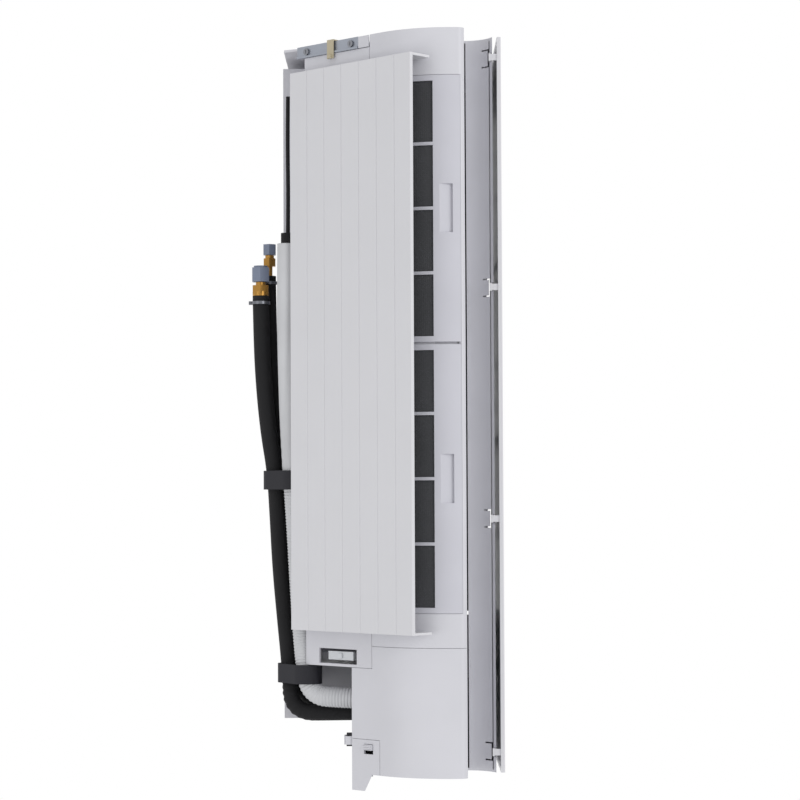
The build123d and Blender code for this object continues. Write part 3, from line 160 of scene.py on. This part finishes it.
def finish(name):
    """A moulded, metal, foam or rubber finish: fine grain and slow tint drift on Object coordinates."""
    made = bpy.data.materials.get("finish_" + name)
    if made:
        return made
    rgb, rough, metal, grain, bump, drift = FINISHES[name]
    made = bpy.data.materials.new("finish_" + name)
    made.use_nodes = True
    tree = made.node_tree
    shader = tree.nodes["Principled BSDF"]
    shader.inputs["Metallic"].default_value = metal
    place = tree.nodes.new("ShaderNodeTexCoord")
    slow = tree.nodes.new("ShaderNodeTexNoise")
    slow.inputs["Scale"].default_value = DRIFT_SCALE
    slow.inputs["Detail"].default_value = DRIFT_DETAIL
    tree.links.new(place.outputs["Object"], slow.inputs["Vector"])
    tint = tree.nodes.new("ShaderNodeValToRGB")
    tint.color_ramp.elements[0].position, tint.color_ramp.elements[1].position = DRIFT_STOPS
    tint.color_ramp.elements[0].color = shaded(rgb, 1.0 - 2.0 * drift)
    tint.color_ramp.elements[1].color = shaded(rgb, 1.0 + 2.0 * drift)
    tree.links.new(slow.outputs["Fac"], tint.inputs["Fac"])
    tree.links.new(tint.outputs["Color"], shader.inputs["Base Color"])
    polish = tree.nodes.new("ShaderNodeMapRange")
    polish.inputs["To Min"].default_value = max(ROUGH_LOWEST, rough - ROUGH_SPREAD)
    polish.inputs["To Max"].default_value = min(1.0, rough + ROUGH_SPREAD)
    tree.links.new(slow.outputs["Fac"], polish.inputs["Value"])
    tree.links.new(polish.outputs["Result"], shader.inputs["Roughness"])
    if name in ("mesh_grey", "coil_aluminium"):
        # Woven threads or thin plates: parallel bands along the length
        weave = tree.nodes.new("ShaderNodeTexWave")
        weave.bands_direction = "X"
        weave.inputs["Scale"].default_value = WAVE_PERIOD / (grain * 2.0)
        tree.links.new(place.outputs["Object"], weave.inputs["Vector"])
        height = weave.outputs["Fac"]
        if name == "mesh_grey":
            across = tree.nodes.new("ShaderNodeTexWave")
            across.bands_direction = "Y"
            across.inputs["Scale"].default_value = WAVE_PERIOD / (grain * 2.0)
            tree.links.new(place.outputs["Object"], across.inputs["Vector"])
            both = tree.nodes.new("ShaderNodeMath")
            both.operation = "MAXIMUM"
            tree.links.new(weave.outputs["Fac"], both.inputs[0])
            tree.links.new(across.outputs["Fac"], both.inputs[1])
            height = both.outputs[0]
    else:
        fine = tree.nodes.new("ShaderNodeTexNoise")
        fine.inputs["Scale"].default_value = 1.0 / grain
        fine.inputs["Detail"].default_value = GRAIN_DETAIL
        tree.links.new(place.outputs["Object"], fine.inputs["Vector"])
        height = fine.outputs["Fac"]
    relief = tree.nodes.new("ShaderNodeBump")
    relief.inputs["Strength"].default_value = bump
    relief.inputs["Distance"].default_value = grain * 0.5
    tree.links.new(height, relief.inputs["Height"])
    tree.links.new(relief.outputs["Normal"], shader.inputs["Normal"])
    return made


def centre_line(route):
    """The smooth line of a route: a NURBS spline of order 3 through its end points, read back as points."""
    curve = bpy.data.curves.new("line", "CURVE")
    curve.dimensions = "3D"
    curve.resolution_u = LINE_RESOLUTION
    spline = curve.splines.new("NURBS")
    spline.points.add(len(route) - 1)
    for point, (x, y, z) in zip(spline.points, route):
        point.co = (x * MM, y * MM, z * MM - MOUNT_HEIGHT, 1.0)
    spline.order_u = 3
    spline.use_endpoint_u = True
    holder = bpy.data.objects.new("line", curve)
    bpy.context.scene.collection.objects.link(holder)
    bpy.context.view_layer.update()
    graph = bpy.context.evaluated_depsgraph_get()
    mesh = bpy.data.meshes.new_from_object(holder.evaluated_get(graph))
    line = np.empty(len(mesh.vertices) * 3)
    mesh.vertices.foreach_get("co", line)
    bpy.data.objects.remove(holder)
    bpy.data.curves.remove(curve)
    bpy.data.meshes.remove(mesh)
    return line.reshape(-1, 3)


def tube(name, route, radius, relief, step, sides):
    """A tube along a route. At length s and angle a its skin is centre(s) + (radius + relief(s, a)) times
    (cos a * side + sin a * up), with side = tangent x Z and up = side x tangent. Both ends are closed."""
    line = centre_line(route)
    run = np.concatenate([[0.0], np.cumsum(np.linalg.norm(np.diff(line, axis=0), axis=1))])
    rings = max(FEWEST_RINGS, int(run[-1] / step))
    s = np.linspace(0.0, run[-1], rings)
    centre = np.stack([np.interp(s, run, line[:, k]) for k in range(3)], axis=1)
    tangent = np.gradient(centre, axis=0)
    tangent /= np.linalg.norm(tangent, axis=1, keepdims=True)
    side = np.cross(tangent, (0.0, 0.0, 1.0))
    side /= np.linalg.norm(side, axis=1, keepdims=True)
    up = np.cross(side, tangent)
    a = np.linspace(0.0, 2.0 * np.pi, sides, endpoint=False)
    r = radius + relief(s[:, None], a[None, :])
    skin = (centre[:, None, :] + (r * np.cos(a))[:, :, None] * side[:, None, :]
            + (r * np.sin(a))[:, :, None] * up[:, None, :])
    verts = np.concatenate([skin.reshape(-1, 3), centre[:1], centre[-1:]])
    i, j = np.meshgrid(np.arange(rings - 1), np.arange(sides), indexing="ij")
    nxt = (j + 1) % sides
    quads = np.stack([i * sides + j, (i + 1) * sides + j, (i + 1) * sides + nxt, i * sides + nxt], axis=2)
    k = np.arange(sides)
    first = np.stack([np.full(sides, rings * sides), k, (k + 1) % sides], axis=1)
    last_ring = (rings - 1) * sides
    last = np.stack([np.full(sides, rings * sides + 1), last_ring + (k + 1) % sides, last_ring + k], axis=1)
    mesh = bpy.data.meshes.new(name)
    mesh.from_pydata(verts.tolist(), [], quads.reshape(-1, 4).tolist() + first.tolist() + last.tolist())
    mesh.validate()
    made = bpy.data.objects.new(name, mesh)
    bpy.context.scene.collection.objects.link(made)
    volume = np.einsum("ij,ij->i", verts[quads[:, :, 0].ravel()], np.cross(
        verts[quads[:, :, 1].ravel()], verts[quads[:, :, 2].ravel()])).sum()
    if volume < 0:
        mesh.flip_normals()
    mesh.shade_smooth()
    return made, line, float(run[-1])


def wrinkles(bends, depth, pitch):
    """Foam or plastic gathered at bends: a cosine of the given pitch, fading out from each bend as a bell,
    deepest on the bend's inner side."""
    def relief(s, a):
        total = np.zeros(np.broadcast(s, a).shape)
        for at, width, inner in bends:
            bell = np.exp(-((s - at) / width) ** 2)
            lean = 0.5 + 0.5 * np.cos(a - inner)
            wave = 0.5 + 0.5 * np.cos(2 * np.pi * (s - at) / pitch + PHASE_SWING * np.sin(a))
            total = total - depth * bell * lean * wave
        return total
    return relief


class ConditionerSizes(bpy.types.PropertyGroup):
    """Sizes that a user would change on the pipes and the hose."""
    gas_radius: FloatProperty(name="Gas pipe radius", description="Outside of the foam on the gas pipe",
                              default=0.0092, unit="LENGTH")
    liquid_radius: FloatProperty(name="Liquid pipe radius",
                                 description="Outside of the foam on the liquid pipe",
                                 default=0.0072, unit="LENGTH")
    hose_radius: FloatProperty(name="Hose radius", description="Crest radius of the drain hose",
                               default=0.0115, unit="LENGTH")
    rib_pitch: FloatProperty(name="Rib pitch", description="Distance from rib to rib of the drain hose",
                             default=0.0034, unit="LENGTH")
    rib_depth: FloatProperty(name="Rib depth", description="Depth of the valleys between the ribs",
                             default=0.0007, unit="LENGTH")
    tube_sides: IntProperty(name="Tube sides", description="Points round each tube", default=40, min=12)


class ConditionerStudio(bpy.types.PropertyGroup):
    """Colours and levels of the studio."""
    floor_colour: FloatVectorProperty(name="Floor", description="Colour of the plain floor", subtype="COLOR",
                                      size=3, default=(0.9, 0.9, 0.9), min=0.0, max=1.0)
    fill_level: FloatProperty(name="Fill level", description="Strength of the even light all round",
                              default=0.74)
    key_power: FloatProperty(name="Key power", description="Power of the large soft lamp", default=26.0,
                             unit="POWER")


class CONDITIONER_OT_finishes(bpy.types.Operator):
    """Give every moulded, metal and rubber piece of the unit its own finish"""
    bl_idname = "conditioner.finishes"
    bl_label = "Finish the pieces"

    def execute(self, context):
        slots = material_slots()
        for node, piece in frame["nodes"].items():
            made = finish(slots[node])
            if not piece.data.materials:
                piece.data.materials.append(made)
            for i in range(len(piece.material_slots)):
                piece.material_slots[i].material = made
        return {"FINISHED"}


class CONDITIONER_OT_pipes(bpy.types.Operator):
    """Wrap the gas and liquid pipes in black foam with creases at the corner"""
    bl_idname = "conditioner.pipes"
    bl_label = "Wrap the pipes"

    def execute(self, context):
        sizes = context.scene.conditioner_sizes
        for name, route, radius, corner in (
                ("gas_foam", GAS_ROUTE, sizes.gas_radius, GAS_CORNER),
                ("liquid_foam", LIQUID_ROUTE, sizes.liquid_radius, LIQUID_CORNER)):
            bends = [(corner + past, spread, inner) for past, spread, inner in CORNER_BENDS]
            creases = wrinkles(bends, *CORNER_CREASE)
            piece, _, _ = tube(name, route, radius, creases, PIPE_STEP, sizes.tube_sides)
            piece.data.materials.append(finish("foam_black"))
            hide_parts(name.split("_")[0] + "_pipe")
            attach(piece, "casing")
        return {"FINISHED"}


class CONDITIONER_OT_hose(bpy.types.Operator):
    """Build the ribbed drain hose with its pinched bend, and the smooth foam sleeve on its end"""
    bl_idname = "conditioner.hose"
    bl_label = "Build the drain hose"

    def execute(self, context):
        sizes = context.scene.conditioner_sizes
        pitch, depth, radius = sizes.rib_pitch, sizes.rib_depth, sizes.hose_radius
        pinch = wrinkles(HOSE_BENDS, HOSE_CREASE_DEPTH, pitch)

        def ribs(s, a):
            """The radius falls by the depth times a raised cosine of the rib pitch, and pinches."""
            return -depth * (0.5 - 0.5 * np.cos(2 * np.pi * s / pitch)) + pinch(s, a)

        hose, line, length = tube("drain_hose_ribbed", HOSE_ROUTE, radius, ribs, HOSE_STEP,
                                  sizes.tube_sides)
        hose.data.materials.append(finish("hose_white"))
        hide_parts("drain_hose")
        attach(hose, "casing")
        soft = wrinkles(SLEEVE_BENDS, *SLEEVE_CREASE)
        sleeve, _, _ = tube("hose_sleeve_smooth", SLEEVE_ROUTE, radius, soft, SLEEVE_STEP,
                            sizes.tube_sides)
        slots = material_slots()
        sleeve.data.materials.append(finish(slots["hose_sleeve"]))
        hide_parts("hose_sleeve")
        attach(sleeve, "casing")
        return {"FINISHED"}


class CONDITIONER_OT_stage(bpy.types.Operator):
    """Set the plain floor, the soft lamps, the white surround and the camera"""
    bl_idname = "conditioner.stage"
    bl_label = "Set the stage"

    def execute(self, context):
        studio = context.scene.conditioner_studio
        mesh = bpy.data.meshes.new("floor")
        half, drop = FLOOR_HALF, FLOOR_DROP
        mesh.from_pydata([(-half, -half, drop), (half, -half, drop), (half, half, drop),
                          (-half, half, drop)], [], [(0, 1, 2, 3)])
        floor = bpy.data.objects.new("floor", mesh)
        context.scene.collection.objects.link(floor)
        paint = bpy.data.materials.new("floor_paint")
        paint.use_nodes = True
        shader = paint.node_tree.nodes["Principled BSDF"]
        shader.inputs["Base Color"].default_value = (*studio.floor_colour, 1.0)
        shader.inputs["Roughness"].default_value = FLOOR_ROUGHNESS
        mesh.materials.append(paint)
        world = bpy.data.worlds.new("surround")
        context.scene.world = world
        world.use_nodes = True
        tree = world.node_tree
        tree.nodes.clear()
        out = tree.nodes.new("ShaderNodeOutputWorld")
        mix = tree.nodes.new("ShaderNodeMixShader")
        fill = tree.nodes.new("ShaderNodeBackground")
        fill.inputs["Strength"].default_value = studio.fill_level
        white = tree.nodes.new("ShaderNodeBackground")
        white.inputs["Color"].default_value = (1.0, 1.0, 1.0, 1.0)
        white.inputs["Strength"].default_value = 1.0
        fill.inputs["Color"].default_value = (1.0, 1.0, 1.0, 1.0)
        rays = tree.nodes.new("ShaderNodeLightPath")
        seen = tree.nodes.new("ShaderNodeMath")
        seen.operation = "MAXIMUM"
        both = tree.nodes.new("ShaderNodeMath")
        both.operation = "MAXIMUM"
        tree.links.new(rays.outputs["Is Camera Ray"], seen.inputs[0])
        tree.links.new(rays.outputs["Is Glossy Ray"], seen.inputs[1])
        tree.links.new(seen.outputs[0], both.inputs[0])
        tree.links.new(rays.outputs["Is Transmission Ray"], both.inputs[1])
        tree.links.new(both.outputs[0], mix.inputs["Fac"])
        tree.links.new(fill.outputs[0], mix.inputs[1])
        tree.links.new(white.outputs[0], mix.inputs[2])
        tree.links.new(mix.outputs[0], out.inputs["Surface"])
        for name, at, size, share in LAMPS:
            lamp = bpy.data.lights.new(name, "AREA")
            lamp.size = size
            lamp.energy = studio.key_power * share
            holder = bpy.data.objects.new(name, lamp)
            holder.location = at
            aim = Vector(CAMERA_AIM) - Vector(at)
            holder.rotation_euler = aim.to_track_quat("-Z", "Y").to_euler()
            context.scene.collection.objects.link(holder)
        camera = bpy.data.cameras.new("camera")
        camera.lens = LENS
        camera.sensor_width = SENSOR
        eye = bpy.data.objects.new("camera", camera)
        ahead = (Vector(CAMERA_AIM) - Vector(CAMERA_AT)).normalized()
        up = Vector((-1.0, 0.0, 0.0))
        up = (up - up.dot(ahead) * ahead).normalized()
        right = ahead.cross(up)
        turn = math.radians(CAMERA_ROLL)
        rolled = up * math.cos(turn) + right * math.sin(turn)
        right = right * math.cos(turn) - up * math.sin(turn)
        rows = [(right[i], rolled[i], -ahead[i], CAMERA_AT[i]) for i in range(3)]
        eye.matrix_world = Matrix((*rows, (0.0, 0.0, 0.0, 1.0)))
        context.scene.collection.objects.link(eye)
        context.scene.camera = eye
        context.scene.view_settings.view_transform = "Standard"
        return {"FINISHED"}


class CONDITIONER_PT_pieces(bpy.types.Panel):
    """Lists the steps and the sizes"""
    bl_idname = "CONDITIONER_PT_pieces"
    bl_label = "Air conditioner"
    bl_space_type = "VIEW_3D"
    bl_region_type = "UI"
    bl_category = "Air conditioner"

    def draw(self, context):
        for group in (context.scene.conditioner_sizes, context.scene.conditioner_studio):
            for name in group.__annotations__:
                self.layout.prop(group, name)
        for step in STEPS:
            self.layout.operator(step.bl_idname)


STEPS = (CONDITIONER_OT_finishes, CONDITIONER_OT_pipes, CONDITIONER_OT_hose, CONDITIONER_OT_stage)
CLASSES = (ConditionerSizes, ConditionerStudio, *STEPS, CONDITIONER_PT_pieces)


def register():
    """Registers the classes and hangs the two property groups on the scene."""
    for cls in CLASSES:
        bpy.utils.register_class(cls)
    bpy.types.Scene.conditioner_sizes = PointerProperty(type=ConditionerSizes)
    bpy.types.Scene.conditioner_studio = PointerProperty(type=ConditionerStudio)


def unregister():
    """Takes the property groups and classes away again."""
    del bpy.types.Scene.conditioner_studio
    del bpy.types.Scene.conditioner_sizes
    for cls in reversed(CLASSES):
        bpy.utils.unregister_class(cls)


def main():
    register()
    bpy.ops.conditioner.finishes()
    bpy.ops.conditioner.pipes()
    bpy.ops.conditioner.hose()
    bpy.ops.conditioner.stage()


if __name__ == "__main__":
    main()
